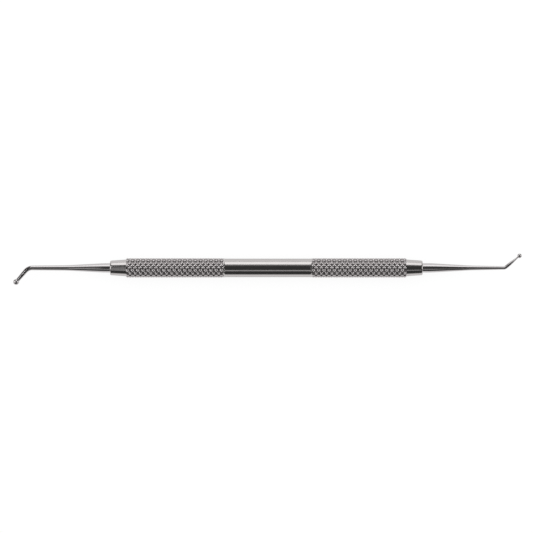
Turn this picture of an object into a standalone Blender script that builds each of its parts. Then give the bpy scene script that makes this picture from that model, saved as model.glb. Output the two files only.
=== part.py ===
# Dental burnisher: a double-ended hand instrument in stainless steel.
# The handle is one turned bar with a rolled diamond knurl on its two grips. In a blind socket at
# each end of it sits a shank, forged and ground in one piece with its tang, its bend and its ball.
# The handle lies along X, both bends lie level in the XY plane, and the origin is the handle's middle.
# Lengths are in metres and angles in degrees.

import math

import bmesh
import bpy
from mathutils import Matrix

# Handle: the bar, its end cones and the sockets in them
HANDLE_LENGTH = 0.1012
BAR_DIAMETER = 0.0060
CONE_LENGTH = 0.0053
CONE_LARGE_DIAMETER = 0.00544
CONE_SMALL_DIAMETER = 0.0047
CONE_EDGE_RADIUS = 0.00035
SOCKET_DEPTH = 0.0100
SOCKET_CHAMFER = 0.00015
DRILL_POINT_ANGLE = 118.0

# Handle: the two knurled grips, each measured from the shoulder at its end cone
LARGE_END_GRIP_LENGTH = 0.0320
SMALL_END_GRIP_LENGTH = 0.0310
GRIP_DIAMETER = 0.0064
KNURL_STARTS = 11
KNURL_PITCH = 0.00169
KNURL_DEPTH = 0.00042
CROWN_SHARE = 0.10
KNURL_RUN_OUT = 0.0009
GRIP_EDGE_CHAMFER = 0.00025

# Handle: where each wheel started, as a share of the pitch from the shoulder inwards
LARGE_END_KNURL_START = 0.22
SMALL_END_KNURL_START = -0.22

# Both shanks: the tang in the socket
TANG_DIAMETER = 0.0030
TANG_CHAMFER = 0.0003
SOCKET_CLEARANCE = 0.00003
TANG_END_GAP = 0.0003

# Shank with the large ball
LARGE_ROOT_LENGTH = 0.0020
LARGE_TAPER_LENGTH = 0.0120
LARGE_WAIST_DIAMETER = 0.00172
LARGE_STEM_LENGTH = 0.0112
LARGE_STEM_DIAMETER = 0.00152
LARGE_BEND_RADIUS = 0.0029
LARGE_BEND_ANGLE = 50.0
LARGE_BEND_DIAMETER = 0.00146
LARGE_TIP_LENGTH = 0.0023
LARGE_TIP_DIAMETER = 0.00130
LARGE_NECK_LENGTH = 0.00235
LARGE_NECK_DIAMETER = 0.00114
LARGE_BALL_DIAMETER = 0.00194

# Shank with the small ball
SMALL_ROOT_LENGTH = 0.0029
SMALL_TAPER_LENGTH = 0.0125
SMALL_WAIST_DIAMETER = 0.00155
SMALL_STEM_LENGTH = 0.0109
SMALL_STEM_DIAMETER = 0.00108
SMALL_BEND_RADIUS = 0.0012
SMALL_BEND_ANGLE = 39.6
SMALL_BEND_DIAMETER = 0.00112
SMALL_TIP_LENGTH = 0.0019
SMALL_TIP_DIAMETER = 0.00112
SMALL_NECK_LENGTH = 0.00386
SMALL_NECK_DIAMETER = 0.00028
SMALL_BALL_DIAMETER = 0.00150

# Fineness of the round forms
TURNED_STEPS = 36
EDGE_STEPS = 3
SHANK_SIDES = 16
BEND_STEPS = 8
BALL_SEGMENTS = 18
BALL_RINGS = 10
SMOOTH_ANGLE = 30.0

# Where the bar hides under the knurl: how far its core lies below the groove floors, and how far the
# two surfaces reach past each other at a joint
CORE_COVER = 0.0003
LAP = 0.0001

MERGE_DISTANCE = 1e-6


def clear_scene():
    for old in list(bpy.data.objects):
        bpy.data.objects.remove(old, do_unlink=True)


def collection_named(name):
    collection = bpy.data.collections.new(name)
    bpy.context.scene.collection.children.link(collection)
    return collection


def steel(name, grey, roughness):
    """Stainless steel as a Principled BSDF."""
    material = bpy.data.materials.new(name)
    material.use_nodes = True
    shader = material.node_tree.nodes["Principled BSDF"]
    shader.inputs["Base Color"].default_value = (grey, grey, grey * 1.01, 1.0)
    shader.inputs["Metallic"].default_value = 1.0
    shader.inputs["Roughness"].default_value = roughness
    return material


def new_object(name, mesh, collection):
    thing = bpy.data.objects.new(name, mesh)
    collection.objects.link(thing)
    return thing


def mesh_object(name, shape, collection):
    """Turns a bmesh into an object and frees it."""
    mesh = bpy.data.meshes.new(name)
    shape.to_mesh(mesh)
    shape.free()
    return new_object(name, mesh, collection)


def as_guide(thing):
    """A body that only takes part in a Boolean is drawn as a wire and never rendered."""
    thing.hide_render = True
    thing.display_type = "WIRE"


def combine(body, operation, tool):
    """Adds an exact Boolean of the body with a tool, by UNION or DIFFERENCE."""
    modifier = body.modifiers.new(tool.name, "BOOLEAN")
    modifier.operation = operation
    modifier.solver = "EXACT"
    modifier.object = tool
    as_guide(tool)


def smooth(thing):
    thing.data.shade_smooth()
    thing.data.set_sharp_from_angle(angle=math.radians(SMOOTH_ANGLE))


def turned(name, outline, collection):
    """Turns an outline of (radius, place along X) points, given from the +X end to the -X end, about X."""
    mesh = bpy.data.meshes.new(name)
    points = [(radius, 0.0, place) for radius, place in outline]
    edges = [(i, i + 1) for i in range(len(points) - 1)]
    mesh.from_pydata(points, edges, [])
    thing = new_object(name, mesh, collection)
    thing.rotation_euler = (0.0, math.radians(90.0), 0.0)
    screw = thing.modifiers.new("turn", "SCREW")
    screw.axis = "Z"
    screw.steps = TURNED_STEPS
    screw.render_steps = TURNED_STEPS
    screw.use_merge_vertices = True
    screw.merge_threshold = MERGE_DISTANCE
    screw.use_smooth_shade = True
    return thing


def at_small_end(outline):
    """Places (radius, depth from the end face) points at the +X end of the handle."""
    return [(radius, HANDLE_LENGTH / 2 - depth) for radius, depth in outline]


def at_large_end(outline):
    """Places (radius, depth from the end face) points at the -X end, in order from +X to -X."""
    return [(radius, depth - HANDLE_LENGTH / 2) for radius, depth in reversed(outline)]


def end_outline(grip_length):
    """One end of the bar: its face, its rounded edge, the cone and the core under the knurl."""
    small = CONE_SMALL_DIAMETER / 2
    large = CONE_LARGE_DIAMETER / 2
    flare = (large - small) / CONE_LENGTH
    core = GRIP_DIAMETER / 2 - KNURL_DEPTH - CORE_COVER
    run_out = CONE_LENGTH + grip_length
    outline = [(0.0, 0.0)]
    for step in range(EDGE_STEPS + 1):
        angle = math.radians(90.0 * step / EDGE_STEPS)
        outline.append((
            small - CONE_EDGE_RADIUS * (1.0 - math.sin(angle)),
            CONE_EDGE_RADIUS * (1.0 - math.cos(angle)),
        ))
    outline += [
        (large + flare * LAP, CONE_LENGTH + LAP),
        (core, CONE_LENGTH + LAP + CORE_COVER),
        (core, run_out - KNURL_RUN_OUT),
        (BAR_DIAMETER / 2, run_out - KNURL_RUN_OUT / 4),
    ]
    return outline


def socket_outline():
    """One drilled socket, from just outside its chamfered mouth to its drill point."""
    bore = TANG_DIAMETER / 2 + SOCKET_CLEARANCE
    drill_point = bore / math.tan(math.radians(DRILL_POINT_ANGLE / 2))
    return [
        (0.0, -LAP),
        (bore + SOCKET_CHAMFER + LAP, -LAP),
        (bore, SOCKET_CHAMFER),
        (bore, SOCKET_DEPTH),
        (0.0, SOCKET_DEPTH + drill_point),
    ]


def bar():
    """The turned bar: cone, grip core, plain middle, grip core, cone."""
    small_end = at_small_end(end_outline(SMALL_END_GRIP_LENGTH))
    large_end = at_large_end(end_outline(LARGE_END_GRIP_LENGTH))
    return turned("handle", small_end + large_end, PARTS)


def knurl_radius(height, along, grip_length):
    """How far from the axis a point of the knurl lies, from its height between groove floor (0) and
    crown (1) and its distance from the shoulder. The rolling wheel lifts off over the run-out, where
    crowns and grooves both fade into the plain bar and end just below its skin."""
    plain = BAR_DIAMETER / 2
    full = GRIP_DIAMETER / 2 - KNURL_DEPTH * (1.0 - height)
    fade = min(1.0, (grip_length - along) / KNURL_RUN_OUT)
    if fade < 0.0:
        return plain + fade * KNURL_DEPTH
    return plain + fade * (full - plain)


def knurl(name, grip_length, start, toward):
    """The rolled diamonds of one grip, as a closed sleeve. The pips are laid out on the unrolled skin,
    with X from the shoulder inwards, Y counting rows and Z from groove floor to crown. The skin is cut
    square at the shoulder, chamfered there over its crowns, and wrapped round the bar, whose top and
    bottom lie midway between two rows."""
    rows = 2 * KNURL_STARTS
    half_pitch = KNURL_PITCH / 2
    end = grip_length + LAP
    skin = bmesh.new()
    for row in range(rows):
        first = (start - row % 2 / 2) * KNURL_PITCH
        for pip in range(math.ceil((end - first) / KNURL_PITCH + 0.5)):
            centre = Matrix.Translation((first + pip * KNURL_PITCH, row, 0.5))
            bmesh.ops.create_cone(
                skin, segments=4, radius1=1.0, radius2=CROWN_SHARE, depth=1.0, cap_ends=True,
                matrix=centre @ Matrix.Diagonal((half_pitch, 1.0, 1.0, 1.0)))
    undersides = [face for face in skin.faces if max(v.co.z for v in face.verts) < 0.5]
    bmesh.ops.delete(skin, geom=undersides, context="FACES_ONLY")
    bmesh.ops.remove_doubles(skin, verts=skin.verts, dist=MERGE_DISTANCE)
    for place, outward, cut in ((0.0, -1.0, True), (GRIP_EDGE_CHAMFER, -1.0, False), (end, 1.0, True)):
        everything = skin.verts[:] + skin.edges[:] + skin.faces[:]
        bmesh.ops.bisect_plane(
            skin, geom=everything, dist=MERGE_DISTANCE, plane_co=(place, 0.0, 0.0),
            plane_no=(outward, 0.0, 0.0), clear_outer=cut)
    shoulder = HANDLE_LENGTH / 2 - CONE_LENGTH
    for corner in skin.verts:
        along, row, height = corner.co
        angle = 2 * math.pi * (row + 0.5) / rows
        chamfer = GRIP_DIAMETER / 2 - GRIP_EDGE_CHAMFER + along
        radius = min(knurl_radius(height, along, grip_length), chamfer)
        corner.co = (toward * (shoulder - along), radius * math.sin(angle), radius * math.cos(angle))
    bmesh.ops.remove_doubles(skin, verts=skin.verts, dist=MERGE_DISTANCE)
    bmesh.ops.holes_fill(skin, edges=[edge for edge in skin.edges if edge.is_boundary], sides=0)
    bmesh.ops.triangulate(skin, faces=skin.faces)
    bmesh.ops.recalc_face_normals(skin, faces=skin.faces)
    return mesh_object(name, skin, GUIDES)


def shank_route(
        root, taper, waist, stem, stem_end, bend_radius, bend_angle, bend_end, tip, tip_end, neck, neck_end):
    """The centre line of a shank that points along +X and bends to +Y, as (x, y, diameter) points
    from the tang in its socket to the middle of the ball."""
    mouth = HANDLE_LENGTH / 2
    tang_end = mouth - SOCKET_DEPTH + TANG_END_GAP
    bend_start = mouth + root + taper + stem
    route = [
        (tang_end, 0.0, TANG_DIAMETER - 2 * TANG_CHAMFER),
        (tang_end + TANG_CHAMFER, 0.0, TANG_DIAMETER),
        (mouth + root, 0.0, TANG_DIAMETER),
        (mouth + root + taper, 0.0, waist),
    ]
    for step in range(BEND_STEPS + 1):
        share = step / BEND_STEPS
        angle = math.radians(bend_angle * share)
        route.append((
            bend_start + bend_radius * math.sin(angle),
            bend_radius * (1.0 - math.cos(angle)),
            stem_end + (bend_end - stem_end) * share,
        ))
    x, y, _ = route[-1]
    for length, width in ((tip, tip_end), (neck, neck_end)):
        x += length * math.cos(math.radians(bend_angle))
        y += length * math.sin(math.radians(bend_angle))
        route.append((x, y, width))
    return route


def swept(name, route, collection):
    """A round rod along (x, y, diameter) points, as a closed mesh."""
    curve = bpy.data.curves.new(name, "CURVE")
    curve.dimensions = "3D"
    curve.twist_mode = "Z_UP"
    curve.bevel_depth = TANG_DIAMETER / 2
    curve.bevel_resolution = (SHANK_SIDES - 4) // 2
    curve.use_fill_caps = True
    spline = curve.splines.new("POLY")
    spline.points.add(len(route) - 1)
    for point, (x, y, diameter) in zip(spline.points, route):
        point.co = (x, y, 0.0, 1.0)
        point.radius = diameter / TANG_DIAMETER
    rod = bpy.data.objects.new(name + " route", curve)
    collection.objects.link(rod)
    evaluated = rod.evaluated_get(bpy.context.evaluated_depsgraph_get())
    mesh = bpy.data.meshes.new_from_object(evaluated)
    shape = bmesh.new()
    shape.from_mesh(mesh)
    bmesh.ops.remove_doubles(shape, verts=shape.verts, dist=MERGE_DISTANCE)
    bmesh.ops.recalc_face_normals(shape, faces=shape.faces)
    thing = mesh_object(name, shape, collection)
    thing.matrix_world = rod.matrix_world
    bpy.data.objects.remove(rod, do_unlink=True)
    bpy.data.meshes.remove(mesh)
    return thing


def ball(name, place, diameter):
    shape = bmesh.new()
    bmesh.ops.create_uvsphere(
        shape, u_segments=BALL_SEGMENTS, v_segments=BALL_RINGS, radius=diameter / 2,
        matrix=Matrix.Translation(place))
    return mesh_object(name, shape, GUIDES)


def shank(name, route, ball_diameter, turn):
    """One shank with its ball, swung about the handle's middle to its own end."""
    rod = swept(name, route, PARTS)
    x, y, _ = route[-1]
    tip = ball(name + " ball", (x, y, 0.0), ball_diameter)
    tip.parent = rod
    combine(rod, "UNION", tip)
    rod.rotation_euler = (0.0, 0.0, math.radians(turn))
    return rod


clear_scene()
PARTS = collection_named("dental_burnisher")
GUIDES = collection_named("guides")

handle = bar()
combine(handle, "UNION", knurl("small end knurl", SMALL_END_GRIP_LENGTH, SMALL_END_KNURL_START, 1.0))
combine(handle, "UNION", knurl("large end knurl", LARGE_END_GRIP_LENGTH, LARGE_END_KNURL_START, -1.0))
combine(handle, "DIFFERENCE", turned("small end drill", at_small_end(socket_outline()), GUIDES))
combine(handle, "DIFFERENCE", turned("large end drill", at_large_end(socket_outline()), GUIDES))
handle.data.materials.append(steel("handle steel", 0.62, 0.28))

large_ball_end = shank(
    "large_ball_end",
    shank_route(
        LARGE_ROOT_LENGTH, LARGE_TAPER_LENGTH, LARGE_WAIST_DIAMETER,
        LARGE_STEM_LENGTH, LARGE_STEM_DIAMETER,
        LARGE_BEND_RADIUS, LARGE_BEND_ANGLE, LARGE_BEND_DIAMETER,
        LARGE_TIP_LENGTH, LARGE_TIP_DIAMETER, LARGE_NECK_LENGTH, LARGE_NECK_DIAMETER),
    LARGE_BALL_DIAMETER, 180.0)
large_ball_end.data.materials.append(steel("large end steel", 0.66, 0.16))

small_ball_end = shank(
    "small_ball_end",
    shank_route(
        SMALL_ROOT_LENGTH, SMALL_TAPER_LENGTH, SMALL_WAIST_DIAMETER,
        SMALL_STEM_LENGTH, SMALL_STEM_DIAMETER,
        SMALL_BEND_RADIUS, SMALL_BEND_ANGLE, SMALL_BEND_DIAMETER,
        SMALL_TIP_LENGTH, SMALL_TIP_DIAMETER, SMALL_NECK_LENGTH, SMALL_NECK_DIAMETER),
    SMALL_BALL_DIAMETER, 0.0)
small_ball_end.data.materials.append(steel("small end steel", 0.66, 0.16))

for piece in (handle, large_ball_end, small_ball_end):
    smooth(piece)
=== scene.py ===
import math

import bmesh
import bpy
from mathutils import Matrix, Vector


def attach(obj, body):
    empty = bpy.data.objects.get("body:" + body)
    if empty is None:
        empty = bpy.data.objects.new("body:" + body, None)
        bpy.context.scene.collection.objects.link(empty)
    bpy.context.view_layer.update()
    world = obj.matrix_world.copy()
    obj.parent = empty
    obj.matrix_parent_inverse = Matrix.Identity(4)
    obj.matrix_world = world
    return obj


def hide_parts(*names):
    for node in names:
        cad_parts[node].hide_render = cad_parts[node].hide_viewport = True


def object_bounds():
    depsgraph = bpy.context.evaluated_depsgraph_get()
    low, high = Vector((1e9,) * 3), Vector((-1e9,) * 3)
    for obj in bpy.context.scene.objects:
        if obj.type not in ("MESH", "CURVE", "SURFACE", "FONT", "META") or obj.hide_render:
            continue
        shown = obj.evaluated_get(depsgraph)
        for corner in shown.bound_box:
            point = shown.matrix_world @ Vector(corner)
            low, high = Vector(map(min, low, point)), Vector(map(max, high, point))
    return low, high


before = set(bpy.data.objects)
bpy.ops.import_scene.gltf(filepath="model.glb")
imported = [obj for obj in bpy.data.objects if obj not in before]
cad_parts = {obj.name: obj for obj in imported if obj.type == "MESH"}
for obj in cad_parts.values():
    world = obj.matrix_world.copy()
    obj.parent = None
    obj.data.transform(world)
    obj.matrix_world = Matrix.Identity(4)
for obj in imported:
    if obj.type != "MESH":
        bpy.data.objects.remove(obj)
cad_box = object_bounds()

# Handle
# One bar of stainless steel, turned to a cone at both ends and drilled there for the shanks. Each grip
# is rolled between two wheels of opposite hand, whose grooves cross and raise rows of rounded diamonds.
# The bare middle keeps its turned and polished skin.
HANDLE_LENGTH = 0.1012
BAR_DIAMETER = 0.0060
CONE_LENGTH = 0.0053
CONE_LARGE_DIAMETER = 0.00544
CONE_SMALL_DIAMETER = 0.0047
CONE_EDGE_RADIUS = 0.00035
SOCKET_DIAMETER = 0.00306
SOCKET_DEPTH = 0.0100
SOCKET_CHAMFER = 0.00015
DRILL_POINT_DEPTH = 0.0009
LARGE_END_GRIP_LENGTH = 0.0320
SMALL_END_GRIP_LENGTH = 0.0310
LARGE_END_KNURL_START = 0.22
SMALL_END_KNURL_START = -0.22
GRIP_DIAMETER = 0.0064
KNURL_STARTS = 11
KNURL_PITCH = 0.00169
KNURL_DEPTH = 0.00032
KNURL_FULLNESS = 0.6
KNURL_RUN_OUT = 0.0009
GRIP_EDGE_CHAMFER = 0.00025
DIAMOND_STEPS = 11
SPARE_DIAMONDS = 2
MIDDLE_SIDES = 96
EDGE_STEPS = 6
RING_LEAD = 0.0001
WELD = 1e-6
CUT_TOLERANCE = WELD / 10
SHARP_ANGLE = math.radians(30)
GRAIN_DETAIL = 3.0
GRAIN_RANGE = (0.3, 0.7)
COLOUR_MIX_INPUTS = (0, 6, 7)
COLOUR_MIX_RESULT = 2
MARK_STRENGTH = 0.25
LATHE_RING_HEIGHT = 0.000004
PLAIN_STEEL = (0.535, 0.512, 0.506, 1.0)
# The grips' colour is painted light and shade: the pale crowns are a painted highlight, and the darker
# grooves, reached over the GROOVE_SHADE share of the groove depth, are painted shade.
CROWN_STEEL_PAINTED_HIGHLIGHT = (0.750, 0.718, 0.718, 1.0)
GROOVE_STEEL_PAINTED_SHADE = (0.320, 0.296, 0.296, 1.0)
GROOVE_SHADE = (0.2, 0.8)
GROOVE_ROUGHNESS = 0.15
RIM_TINT = (0.75, 0.75, 0.75, 1.0)


def feed(tree, source, socket):
    """Links an input from another node's output, or sets it to a plain value."""
    if isinstance(source, bpy.types.NodeSocket):
        tree.links.new(source, socket)
    elif source is not None:
        socket.default_value = source


def step(tree, kind, *sources, **settings):
    """Adds a node with its settings, feeds its inputs in order and returns its first output."""
    node = tree.nodes.new(kind)
    for setting, value in settings.items():
        setattr(node, setting, value)
    for source, socket in zip(sources, node.inputs):
        feed(tree, source, socket)
    return node.outputs[0]


def maths(tree, operation, *sources):
    """One step of arithmetic."""
    return step(tree, "ShaderNodeMath", *sources, operation=operation)


def whole(tree, operation, *sources):
    """One step of arithmetic on whole numbers."""
    return step(tree, "FunctionNodeIntegerMath", *sources, operation=operation)


def xyz_of(tree, vector):
    """The X, Y and Z of a place."""
    return step(tree, "ShaderNodeSeparateXYZ", vector).node.outputs


def new_tree(name, **inputs):
    """Starts a geometry tree with the named inputs, and returns it with the sockets that give them."""
    tree = bpy.data.node_groups.new(name, "GeometryNodeTree")
    for label, kind in inputs.items():
        tree.interface.new_socket(label, in_out="INPUT", socket_type="NodeSocket" + kind)
    tree.interface.new_socket("made", in_out="OUTPUT", socket_type="NodeSocketGeometry")
    return tree, tree.nodes.new("NodeGroupInput").outputs


def finish_tree(tree, geometry, material):
    """Ends a tree as real faces, shaded smooth, in one material."""
    real = step(tree, "GeometryNodeRealizeInstances", geometry)
    smooth = step(tree, "GeometryNodeSetShadeSmooth", real)
    dressed = step(tree, "GeometryNodeSetMaterial", smooth, None, material)
    tree.links.new(dressed, tree.nodes.new("NodeGroupOutput").inputs[0])
    return tree


def wave(tree, across):
    """Height from groove floor (0) to crown (1) at a place across one set of grooves, where a diamond
    reaches from -0.5 to 0.5."""
    turned = maths(tree, "COSINE", maths(tree, "MULTIPLY", across, math.tau))
    return maths(tree, "MULTIPLY_ADD", turned, 0.5, 0.5)


def knurl_tree():
    """The rolled skin of one grip, as an open sleeve about X. One diamond is laid out flat, with its
    two sides along the two sets of grooves, repeated in staggered rows, and wrapped round the bar."""
    tree, given = new_tree(
        "rolled knurl", starts="Int", diamonds="Int", steps="Int", pitch="Float", depth="Float",
        fullness="Float", grip_diameter="Float", bar_diameter="Float", grip_length="Float",
        run_out="Float", start="Float", shoulder="Float", toward="Float", weld="Float",
        material="Material")
    rows = whole(tree, "MULTIPLY", given["starts"], 2)

    # One diamond, which both sets of grooves leave standing; a fullness under 1 rounds its crown out
    # and narrows the grooves
    sheet = step(tree, "GeometryNodeMeshGrid", 1.0, 1.0, given["steps"], given["steps"])
    left, right, _ = xyz_of(tree, step(tree, "GeometryNodeInputPosition"))
    height = maths(
        tree, "POWER", maths(tree, "MULTIPLY", wave(tree, left), wave(tree, right)), given["fullness"])
    half_pitch = maths(tree, "MULTIPLY", given["pitch"], 0.5)
    diamond = step(tree, "GeometryNodeSetPosition", sheet, None, step(
        tree, "ShaderNodeCombineXYZ", maths(tree, "MULTIPLY", maths(tree, "ADD", left, right), half_pitch),
        maths(tree, "SUBTRACT", left, right), height))

    # Its copies, one to each row round the bar and then the next ones along it, with every second row
    # moved by half a pitch
    index = step(tree, "GeometryNodeInputIndex")
    row = whole(tree, "MODULO", index, rows)
    stagger = maths(tree, "MULTIPLY_ADD", maths(tree, "MODULO", row, 2.0), -0.5, given["start"])
    number = maths(tree, "ADD", whole(tree, "DIVIDE_FLOOR", index, rows), stagger)
    place = step(tree, "ShaderNodeCombineXYZ", maths(tree, "MULTIPLY", number, given["pitch"]), row, 0.0)
    points = step(tree, "GeometryNodePoints", whole(tree, "MULTIPLY", rows, given["diamonds"]), place)
    copies = step(tree, "GeometryNodeInstanceOnPoints", points, None, diamond)
    flat = step(tree, "GeometryNodeRealizeInstances", copies)

    # The wheels lift off over the run-out, where crowns and grooves fade into the plain bar. Round it,
    # the first row starts half a row off the top, so the bottom has two rows side by side to lie on
    along, around, high = xyz_of(tree, step(tree, "GeometryNodeInputPosition"))
    left_over = maths(tree, "SUBTRACT", given["grip_length"], along)
    fade = maths(tree, "MINIMUM", 1.0, maths(tree, "DIVIDE", left_over, given["run_out"]))
    groove = maths(tree, "SUBTRACT", 1.0, high)
    # The groove depth kept here later sets the grips' roughness and their painted shade and painted
    # highlight.
    marked = flat
    for label, value in (("groove", maths(tree, "MULTIPLY", groove, fade)), ("rolled", fade)):
        marked = step(
            tree, "GeometryNodeStoreNamedAttribute", marked, None, label, value, data_type="FLOAT")
    crown = maths(tree, "MULTIPLY", given["grip_diameter"], 0.5)
    plain = maths(tree, "MULTIPLY", given["bar_diameter"], 0.5)
    full = maths(tree, "SUBTRACT", crown, maths(tree, "MULTIPLY", given["depth"], groove))
    rise = maths(tree, "SUBTRACT", full, plain)
    radius = maths(tree, "MULTIPLY_ADD", rise, fade, plain)
    turn = maths(tree, "MULTIPLY", maths(tree, "ADD", around, 0.5), maths(tree, "DIVIDE", math.tau, rows))
    wrapped = step(tree, "GeometryNodeSetPosition", marked, None, step(
        tree, "ShaderNodeCombineXYZ",
        maths(tree, "MULTIPLY", maths(tree, "SUBTRACT", given["shoulder"], along), given["toward"]),
        maths(tree, "MULTIPLY", radius, maths(tree, "SINE", turn)),
        maths(tree, "MULTIPLY", radius, maths(tree, "COSINE", turn))))
    welded = step(tree, "GeometryNodeMergeByDistance", wrapped, None, given["weld"])
    return finish_tree(tree, welded, given["material"])


def grown(tree, source, **inputs):
    """Runs a tree on a mesh and returns what it makes as a plain mesh."""
    carrier = bpy.data.objects.new(tree.name, source)
    bpy.context.scene.collection.objects.link(carrier)
    modifier = carrier.modifiers.new(tree.name, "NODES")
    modifier.node_group = tree
    for socket in tree.interface.items_tree:
        if socket.name in inputs:
            modifier[socket.identifier] = inputs[socket.name]
    made = carrier.evaluated_get(bpy.context.evaluated_depsgraph_get())
    mesh = bpy.data.meshes.new_from_object(made)
    bpy.data.objects.remove(carrier)
    return mesh


def new_steel(name):
    """A bare metal material, with its node tree and its shader."""
    material = bpy.data.materials.new(name)
    material.use_nodes = True
    shader = material.node_tree.nodes["Principled BSDF"]
    shader.inputs["Metallic"].default_value = 1.0
    shader.inputs["Specular Tint"].default_value = RIM_TINT
    return material, material.node_tree, shader


def noise_between(tree, scale, low, high, squeeze=(1.0, 1.0, 1.0)):
    """Noise in the piece's own metres, from low to high, squeezed by three factors along X, Y and Z."""
    place = step(tree, "ShaderNodeTexCoord").node.outputs["Object"]
    squeezed = step(tree, "ShaderNodeMapping", place, None, None, squeeze)
    grain = step(tree, "ShaderNodeTexNoise", squeezed)
    grain.node.inputs["Scale"].default_value = scale
    grain.node.inputs["Detail"].default_value = GRAIN_DETAIL
    return step(tree, "ShaderNodeMapRange", grain, *GRAIN_RANGE, low, high)


def raise_marks(tree, shader, marks, height):
    """Lets fine marks stand out of a surface by a height in metres."""
    bump = step(tree, "ShaderNodeBump").node
    bump.inputs["Strength"].default_value = MARK_STRENGTH
    bump.inputs["Distance"].default_value = height
    tree.links.new(marks, bump.inputs["Height"])
    tree.links.new(bump.outputs[0], shader.inputs["Normal"])


def attribute(tree, name):
    """A value that the mesh keeps at each of its corners."""
    return step(tree, "ShaderNodeAttribute", attribute_name=name).node.outputs["Fac"]


def mixed(tree, factor, first, second):
    """A colour between two others."""
    colour = step(tree, "ShaderNodeMix", data_type="RGBA").node
    for source, number in zip((factor, first, second), COLOUR_MIX_INPUTS):
        feed(tree, source, colour.inputs[number])
    return colour.outputs[COLOUR_MIX_RESULT]


def handle_steel():
    """Polished bar with faint lathe rings. On the grips the crowns are a little dull, and their colour is
    painted pale as a painted highlight, while the grooves are painted darker as painted shade in the
    recesses."""
    material, tree, shader = new_steel("handle steel")
    rolled = attribute(tree, "rolled")
    # Painted light: the grip colour runs from a pale painted highlight on the crowns to painted shade deep
    # in the grooves.
    depth = step(tree, "ShaderNodeMapRange", attribute(tree, "groove"), *GROOVE_SHADE, 0.0, 1.0)
    grip_painted_light_colour = mixed(tree, depth, CROWN_STEEL_PAINTED_HIGHLIGHT, GROOVE_STEEL_PAINTED_SHADE)
    tree.links.new(mixed(tree, rolled, PLAIN_STEEL, grip_painted_light_colour), shader.inputs["Base Color"])

    plain_skin = noise_between(tree, scale=350.0, low=0.10, high=0.17)
    rubbed = noise_between(tree, scale=900.0, low=0.20, high=0.27)
    rolled_skin = step(tree, "ShaderNodeMix", depth, None, rubbed, GROOVE_ROUGHNESS)
    skin = step(tree, "ShaderNodeMix", rolled, None, plain_skin, rolled_skin)
    tree.links.new(skin, shader.inputs["Roughness"])

    lathe_rings = noise_between(tree, scale=60.0, low=0.0, high=1.0, squeeze=(60.0, 1.0, 1.0))
    raise_marks(tree, shader, lathe_rings, LATHE_RING_HEIGHT)
    return material


def open_edges(shape, place):
    """The open edges that lie in the plane square to X at a place."""
    return [
        edge for edge in shape.edges
        if edge.is_boundary and all(abs(corner.co.x - place) < WELD for corner in edge.verts)]


def grip(tree, material, grip_length, start, toward):
    """One rolled grip, cut square at its shoulder and at its inner end, with the shoulder's edge
    turned down to a chamfer that all the crowns share."""
    shoulder = HANDLE_LENGTH / 2 - CONE_LENGTH
    mesh = grown(
        tree, bpy.data.meshes.new("grip"), starts=KNURL_STARTS,
        diamonds=math.ceil(grip_length / KNURL_PITCH) + SPARE_DIAMONDS, steps=DIAMOND_STEPS,
        pitch=KNURL_PITCH, depth=KNURL_DEPTH, fullness=KNURL_FULLNESS, grip_diameter=GRIP_DIAMETER,
        bar_diameter=BAR_DIAMETER, grip_length=grip_length, run_out=KNURL_RUN_OUT, start=start,
        shoulder=shoulder, toward=toward, weld=WELD, material=material)
    shape = bmesh.new()
    shape.from_mesh(mesh)
    for place, cleared in (
            (shoulder, "outer"), (shoulder - GRIP_EDGE_CHAMFER, None), (shoulder - grip_length, "inner")):
        bmesh.ops.bisect_plane(
            shape, geom=shape.verts[:] + shape.edges[:] + shape.faces[:], dist=CUT_TOLERANCE,
            plane_co=(place * toward, 0.0, 0.0), plane_no=(toward, 0.0, 0.0),
            clear_outer=cleared == "outer", clear_inner=cleared == "inner")
    for corner in shape.verts:
        x, y, z = corner.co
        radius = math.hypot(y, z)
        limit = GRIP_DIAMETER / 2 - GRIP_EDGE_CHAMFER + shoulder - abs(x)
        if radius > limit:
            corner.co = (x, y * limit / radius, z * limit / radius)
    shape.to_mesh(mesh)
    shape.free()
    return mesh


def carried_on(shape, edges, radius, place):
    """Draws an open end on to a ring of another radius at a place along X, and returns its edges.
    The new ring is plain metal, so the knurl's attributes are 0 there."""
    new = bmesh.ops.extrude_edge_only(shape, edges=edges)["geom"]
    ring = {corner for corner in new if isinstance(corner, bmesh.types.BMVert)}
    for corner in ring:
        _, y, z = corner.co
        grow = radius / math.hypot(y, z)
        corner.co = (place, y * grow, z * grow)
        for layer in shape.verts.layers.float.values():
            corner[layer] = 0.0
    return [edge for edge in new if isinstance(edge, bmesh.types.BMEdge) and ring.issuperset(edge.verts)]


def end_rings():
    """(radius, depth from the end face) of each ring from the shoulder, over the cone and the rounded
    edge, into the drilled socket and down to its drill point. A ring close to each end of the cone
    keeps its shading even."""
    large = CONE_LARGE_DIAMETER / 2
    small = CONE_SMALL_DIAMETER / 2
    flare = (large - small) / CONE_LENGTH
    bore = SOCKET_DIAMETER / 2
    rings = [(large, CONE_LENGTH), (large - flare * RING_LEAD, CONE_LENGTH - RING_LEAD)]
    lead = CONE_EDGE_RADIUS + RING_LEAD
    rings.append((small + flare * lead, lead))
    for number in range(EDGE_STEPS + 1):
        angle = math.pi / 2 * number / EDGE_STEPS
        depth = CONE_EDGE_RADIUS * (1.0 - math.sin(angle))
        rings.append((small + flare * depth - CONE_EDGE_RADIUS * (1.0 - math.cos(angle)), depth))
    rings += [
        (bore + SOCKET_CHAMFER, 0.0),
        (bore, SOCKET_CHAMFER),
        (bore, SOCKET_DEPTH),
        (0.0, SOCKET_DEPTH + DRILL_POINT_DEPTH),
    ]
    return rings


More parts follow.
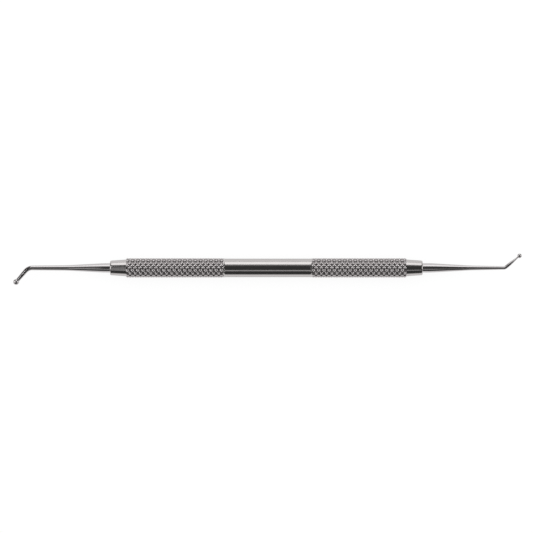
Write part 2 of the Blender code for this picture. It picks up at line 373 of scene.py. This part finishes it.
def middle_ring(shape, place):
    """A ring of evenly spaced corners on the plain bar."""
    ring = bmesh.ops.create_circle(
        shape, segments=MIDDLE_SIDES, radius=BAR_DIAMETER / 2,
        matrix=Matrix.Translation((place, 0.0, 0.0)) @ Matrix.Rotation(math.pi / 2, 4, "Y"))["verts"]
    return {edge for corner in ring for edge in corner.link_edges}


def placed(name, shape, slot, *nodes):
    """Makes a finished shape a piece of the object, in place of the solids that it stands for."""
    mesh = bpy.data.meshes.new(name)
    bmesh.ops.remove_doubles(shape, verts=shape.verts, dist=WELD)
    bmesh.ops.recalc_face_normals(shape, faces=shape.faces)
    shape.to_mesh(mesh)
    shape.free()
    piece = bpy.data.objects.new(name, mesh)
    bpy.context.scene.collection.objects.link(piece)
    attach(piece, "root")
    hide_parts(*nodes)
    return piece


knurl = knurl_tree()
handle_finish = handle_steel()
handle = bmesh.new()
handle.from_mesh(grip(knurl, handle_finish, SMALL_END_GRIP_LENGTH, SMALL_END_KNURL_START, 1.0))
handle.from_mesh(grip(knurl, handle_finish, LARGE_END_GRIP_LENGTH, LARGE_END_KNURL_START, -1.0))
for toward in (1.0, -1.0):
    rim = open_edges(handle, toward * (HANDLE_LENGTH / 2 - CONE_LENGTH))
    for radius, depth in end_rings():
        rim = carried_on(handle, rim, radius, toward * (HANDLE_LENGTH / 2 - depth))
joint_rings = []
for grip_length, toward in ((SMALL_END_GRIP_LENGTH, 1.0), (LARGE_END_GRIP_LENGTH, -1.0)):
    inner_end = HANDLE_LENGTH / 2 - CONE_LENGTH - grip_length
    knurl_end = open_edges(handle, toward * inner_end)
    ring = middle_ring(handle, toward * (inner_end - RING_LEAD))
    bmesh.ops.bridge_loops(handle, edges=knurl_end + list(ring))
    joint_rings += list(ring)
bmesh.ops.bridge_loops(handle, edges=joint_rings)
for face in handle.faces:
    face.smooth = True
for edge in handle.edges:
    turned = all(abs(corner.co.x) > HANDLE_LENGTH / 2 - CONE_LENGTH - WELD for corner in edge.verts)
    if turned and edge.is_manifold and edge.calc_face_angle() > SHARP_ANGLE:
        edge.smooth = False
handle_piece = placed("knurled_handle", handle, "handle", "handle")
handle_piece.data.materials.append(handle_finish)

# Shanks
# Two forged and ground lengths of harder stainless steel, each in one piece with its ball. The tang
# fills the handle's socket, where it is pressed and brazed. Outside it the shank tapers to a slim
# stem, turns through one bend and narrows to a neck behind the ball.

# Stretches in order from the handle, each with its length and its diameter where it ends. The root keeps
# the tang's diameter, and the bend's length is given by a radius and an angle.
LARGE_SHANK = {
    "root": 0.0020,
    "taper": 0.0120,
    "waist": 0.00172,
    "stem": 0.0112,
    "stem_end": 0.00152,
    "bend_radius": 0.0029,
    "bend_angle": math.radians(50.0),
    "bend_end": 0.00146,
    "tip": 0.0023,
    "tip_end": 0.00130,
    "neck": 0.00235,
    "neck_end": 0.00114,
    "ball": 0.00194,
}
SMALL_SHANK = {
    "root": 0.0029,
    "taper": 0.0125,
    "waist": 0.00155,
    "stem": 0.0109,
    "stem_end": 0.00108,
    "bend_radius": 0.0012,
    "bend_angle": math.radians(39.6),
    "bend_end": 0.00112,
    "tip": 0.0019,
    "tip_end": 0.00112,
    "neck": 0.00386,
    "neck_end": 0.00028,
    "ball": 0.00150,
}
TANG_DIAMETER = 0.0030
TANG_CHAMFER = 0.0003
TANG_END_GAP = 0.0003
NECK_FILLET = 0.00015
SHANK_SIDES = 48
STRAIGHT_STEP = 0.0005
BEND_STEP = 0.0001
FILLET_STEPS = 8
BALL_STEPS = 28
EASING = 0.0012
EASING_SAMPLES = 9
BELT_MARK_HEIGHT = 0.000002
SHANK_STEEL = (0.560, 0.538, 0.540, 1.0)


def shank_width(sizes, reach):
    """Diameter at a reach from the handle's end face, where each stretch runs straight to its end."""
    start, wide = 0.0, TANG_DIAMETER
    for length, narrow in (
            (sizes["root"], TANG_DIAMETER), (sizes["taper"], sizes["waist"]),
            (sizes["stem"], sizes["stem_end"]),
            (sizes["bend_radius"] * sizes["bend_angle"], sizes["bend_end"]),
            (sizes["tip"], sizes["tip_end"]), (sizes["neck"], sizes["neck_end"])):
        if reach < start + length:
            return wide + (narrow - wide) * max(0.0, (reach - start) / length)
        start, wide = start + length, narrow
    return wide


def eased_width(sizes, reach):
    """The same, with the knees between the stretches ground over as a file leaves them."""
    offsets = [EASING * (2 * number / (EASING_SAMPLES - 1) - 1) for number in range(EASING_SAMPLES)]
    return sum(shank_width(sizes, reach + offset) for offset in offsets) / EASING_SAMPLES


def shank_stations(sizes):
    """(reach, radius) of each ring of a shank, from the end of its tang to the tip of its ball."""
    tang_end = TANG_END_GAP - SOCKET_DEPTH
    stations = [
        (tang_end, 0.0),
        (tang_end + WELD, TANG_DIAMETER / 2 - TANG_CHAMFER),
        (tang_end + TANG_CHAMFER, TANG_DIAMETER / 2),
        (0.0, TANG_DIAMETER / 2),
    ]
    bend_start = sizes["root"] + sizes["taper"] + sizes["stem"]
    bend_end = bend_start + sizes["bend_radius"] * sizes["bend_angle"]
    ball_middle = bend_end + sizes["tip"] + sizes["neck"]
    ball = sizes["ball"] / 2
    neck = eased_width(sizes, ball_middle - ball) / 2
    fillet_middle = math.sqrt((ball + NECK_FILLET) ** 2 - (neck + NECK_FILLET) ** 2)
    reach = STRAIGHT_STEP
    while reach < ball_middle - fillet_middle - STRAIGHT_STEP / 2:
        stations.append((reach, eased_width(sizes, reach) / 2))
        reach += BEND_STEP if bend_start - EASING < reach < bend_end + EASING else STRAIGHT_STEP
    last = math.acos((neck + NECK_FILLET) / (ball + NECK_FILLET))
    for number in range(FILLET_STEPS + 1):
        angle = last * number / FILLET_STEPS
        stations.append((
            ball_middle - fillet_middle + NECK_FILLET * math.sin(angle),
            neck + NECK_FILLET * (1.0 - math.cos(angle))))
    start = math.pi / 2 - last
    for number in range(1, BALL_STEPS + 1):
        angle = start + (math.pi - start) * number / BALL_STEPS
        stations.append((ball_middle - ball * math.cos(angle), ball * max(0.0, math.sin(angle))))
    return stations


def shank_place(sizes, reach):
    """Where the centre line is: straight on from the handle along X, round the bend, straight on."""
    bend_start = sizes["root"] + sizes["taper"] + sizes["stem"]
    bend_radius = sizes["bend_radius"]
    angle = min(max((reach - bend_start) / bend_radius, 0.0), sizes["bend_angle"])
    beyond = reach - bend_start - bend_radius * angle
    return (
        HANDLE_LENGTH / 2 + bend_start + bend_radius * math.sin(angle) + beyond * math.cos(angle),
        bend_radius * (1.0 - math.cos(angle)) + beyond * math.sin(angle),
        0.0,
    )


def sweep_tree():
    """A round section carried along a chain of points, as wide at each as its own width says."""
    tree, given = new_tree(
        "ground round", chain="Geometry", sides="Int", weld="Float", material="Material")
    line = step(tree, "GeometryNodeMeshToCurve", given["chain"])
    ring = step(tree, "GeometryNodeCurvePrimitiveCircle", given["sides"])
    ring.node.inputs["Radius"].default_value = 1.0
    width = step(tree, "GeometryNodeInputNamedAttribute", "radius", data_type="FLOAT")
    body = step(tree, "GeometryNodeCurveToMesh", line, ring, width)
    closed = step(tree, "GeometryNodeMergeByDistance", body, None, given["weld"])
    return finish_tree(tree, closed, given["material"])


def shank_steel():
    """Ground and buffed bright, with faint marks across the shank where the belt ran."""
    material, tree, shader = new_steel("shank steel")
    feed(tree, SHANK_STEEL, shader.inputs["Base Color"])
    tree.links.new(noise_between(tree, scale=500.0, low=0.07, high=0.13), shader.inputs["Roughness"])
    belt_marks = noise_between(tree, scale=60.0, low=0.0, high=1.0, squeeze=(90.0, 4.0, 4.0))
    raise_marks(tree, shader, belt_marks, BELT_MARK_HEIGHT)
    return material


sweep = sweep_tree()
shank_finish = shank_steel()
for name, sizes, turn in (("small_ball", SMALL_SHANK, 0.0), ("large_ball", LARGE_SHANK, math.pi)):
    stations = shank_stations(sizes)
    chain = bpy.data.meshes.new(name)
    chain.from_pydata(
        [shank_place(sizes, reach) for reach, _ in stations],
        [(number, number + 1) for number in range(len(stations) - 1)], [])
    radii = chain.attributes.new("radius", "FLOAT", "POINT")
    radii.data.foreach_set("value", [radius for _, radius in stations])
    shank = bmesh.new()
    shank.from_mesh(grown(sweep, chain, sides=SHANK_SIDES, weld=WELD, material=shank_finish))
    bmesh.ops.rotate(shank, verts=shank.verts, matrix=Matrix.Rotation(turn, 3, "Z"))
    piece = placed(name + "_shank", shank, name + "_end", name + "_end")
    piece.data.set_sharp_from_angle(angle=SHARP_ANGLE)
    piece.data.materials.append(shank_finish)

# Floor and backdrop
# A sheet of matt white paper lies under the instrument, and a second one stands behind it. Both look white
# to the camera and in the steel, save that the lower one's glow is painted out in the steel on the
# camera's side, a painted dark reflection; the lower one keeps the instrument's faint shadow.
FLOOR_REACH = 3.0
BACKDROP_PLACE = 1.5
BACKDROP_HALF_WIDTH = 0.4
BACKDROP_HEIGHT = 0.50
PAINTED_REFLECTION_FADE = (-0.040, -0.016)
PAPER = (0.95, 0.95, 0.95, 1.0)
PAPER_GLOW_SHARE = 0.88
WHITE = (1.0, 1.0, 1.0, 1.0)


def paper_white():
    """Matt paper that looks evenly white to the camera and in polished metal, but whose glow is painted
    out in the metal on the camera's side, a painted dark reflection where the sheet and its light go on."""
    material = bpy.data.materials.new("paper white")
    material.use_nodes = True
    tree = material.node_tree
    tree.nodes.clear()
    matt = step(tree, "ShaderNodeBsdfDiffuse", PAPER)
    rays = step(tree, "ShaderNodeLightPath").node.outputs
    place = xyz_of(tree, step(tree, "ShaderNodeTexCoord").node.outputs["Object"])
    # Painted dark reflection: towards the camera's side of the floor, over the given range of Y, the paper
    # stops glowing in the metal.
    painted_reflection_glow = step(tree, "ShaderNodeMapRange", place["Y"], *PAINTED_REFLECTION_FADE, 0.0, 1.0)
    glow = step(tree, "ShaderNodeEmission", WHITE, maths(tree, "MAXIMUM", rays["Is Camera Ray"], painted_reflection_glow))
    mirrored = maths(tree, "MAXIMUM", rays["Is Glossy Ray"], rays["Is Transmission Ray"])
    seen = maths(tree, "MAXIMUM", rays["Is Camera Ray"], mirrored)
    share = maths(tree, "MULTIPLY", seen, PAPER_GLOW_SHARE)
    mix = step(tree, "ShaderNodeMixShader", share, matt, glow)
    tree.links.new(mix, tree.nodes.new("ShaderNodeOutputMaterial").inputs["Surface"])
    return material


def staged(name, corners, faces, material):
    """A flat sheet of the surroundings, which is no piece of the instrument."""
    mesh = bpy.data.meshes.new(name)
    mesh.from_pydata(corners, [], faces)
    mesh.materials.append(material)
    sheet = bpy.data.objects.new(name, mesh)
    bpy.context.scene.collection.objects.link(sheet)


paper = paper_white()
floor_height = cad_box[0][2]
staged("floor", [
    (FLOOR_REACH * x, FLOOR_REACH * y, floor_height) for x, y in ((-1, -1), (1, -1), (1, 1), (-1, 1))],
    [(0, 1, 2, 3)], paper)
staged("backdrop", [
    (BACKDROP_HALF_WIDTH * x, BACKDROP_PLACE, floor_height + BACKDROP_HEIGHT * z)
    for x, z in ((-1, 0), (1, 0), (1, 1), (-1, 1))], [(0, 1, 2, 3)], paper)

# Light
# A long soft box behind the instrument gives its bright band, and its dim spill softens that band's
# edge. In front, a strip and a grey card draw the fine grey line in the dark half and the grey on one
# cone. A card beyond each end lights the diamonds, and a small lamp draws a light line along one bend.
LAMP_DISTANCE = 0.9
ROOM_DARK = 0.05
ROOM_ON_PAPER = 0.85


def soft_light(name, bearing, from_zenith, length, angle_high, radiance, along=0.0):
    """An area lamp that faces the instrument from a bearing (0 is +X, 90 is behind) and an angle from
    the zenith, slid along X if need be. Its height is given as an angle, its length in metres."""
    lamp = bpy.data.lights.new(name, "AREA")
    lamp.shape = "RECTANGLE"
    lamp.size = length
    lamp.size_y = 2 * LAMP_DISTANCE * math.tan(math.radians(angle_high) / 2)
    lamp.energy = radiance * math.pi * lamp.size * lamp.size_y
    stand = bpy.data.objects.new(name, lamp)
    level = math.sin(math.radians(from_zenith))
    way = Vector((
        level * math.cos(math.radians(bearing)), level * math.sin(math.radians(bearing)),
        math.cos(math.radians(from_zenith))))
    stand.location = LAMP_DISTANCE * way + Vector((along, 0.0, 0.0))
    stand.rotation_euler = way.to_track_quat("Z", "Y").to_euler()
    stand.visible_camera = False
    bpy.context.scene.collection.objects.link(stand)


soft_light("soft box", bearing=90.0, from_zenith=53.0, length=0.60, angle_high=36.0, radiance=1.47)
soft_light("spill", bearing=90.0, from_zenith=26.0, length=0.45, angle_high=18.0, radiance=0.17)
soft_light("strip", bearing=-90.0, from_zenith=43.0, length=0.45, angle_high=14.0, radiance=0.42)
soft_light(
    "grey card", bearing=-90.0, from_zenith=19.5, length=0.80, angle_high=37.0, radiance=0.30, along=-0.60)
soft_light("right card", bearing=0.0, from_zenith=60.0, length=0.60, angle_high=37.0, radiance=1.90)
soft_light("left card", bearing=180.0, from_zenith=60.0, length=0.60, angle_high=37.0, radiance=1.90)
soft_light("small lamp", bearing=158.0, from_zenith=24.0, length=0.20, angle_high=6.4, radiance=4.5)

world = bpy.data.worlds.new("studio")
world.use_nodes = True
room = world.node_tree
room.nodes.clear()
rays = step(room, "ShaderNodeLightPath").node.outputs
strength = maths(room, "MAXIMUM", rays["Is Camera Ray"], maths(
    room, "MAXIMUM", ROOM_DARK, maths(room, "MULTIPLY", rays["Is Diffuse Ray"], ROOM_ON_PAPER)))
walls = step(room, "ShaderNodeBackground", WHITE, strength)
room.links.new(walls, room.nodes.new("ShaderNodeOutputWorld").inputs["Surface"])
bpy.context.scene.world = world

# Camera
# A long lens looks down from well above and aims close by the middle of the handle. It leans a little
# to one side, so that a row of diamonds faces it.
LENS = 200.0
SENSOR = 36.0
FRAME_WIDTH = 0.1727
LEAN = math.radians(8.18)
AIM_ACROSS = 0.00006
AIM_UP = 0.00045

camera = bpy.data.cameras.new("camera")
camera.lens = LENS
camera.sensor_width = SENSOR
eye = bpy.data.objects.new("camera", camera)
aim = Vector((AIM_ACROSS, AIM_UP * math.cos(LEAN), AIM_UP * math.sin(LEAN)))
eye.location = aim + FRAME_WIDTH * LENS / SENSOR * Vector((0.0, -math.sin(LEAN), math.cos(LEAN)))
eye.rotation_euler = (LEAN, 0.0, 0.0)
bpy.context.scene.collection.objects.link(eye)
bpy.context.scene.camera = eye
bpy.context.scene.view_settings.view_transform = "Standard"
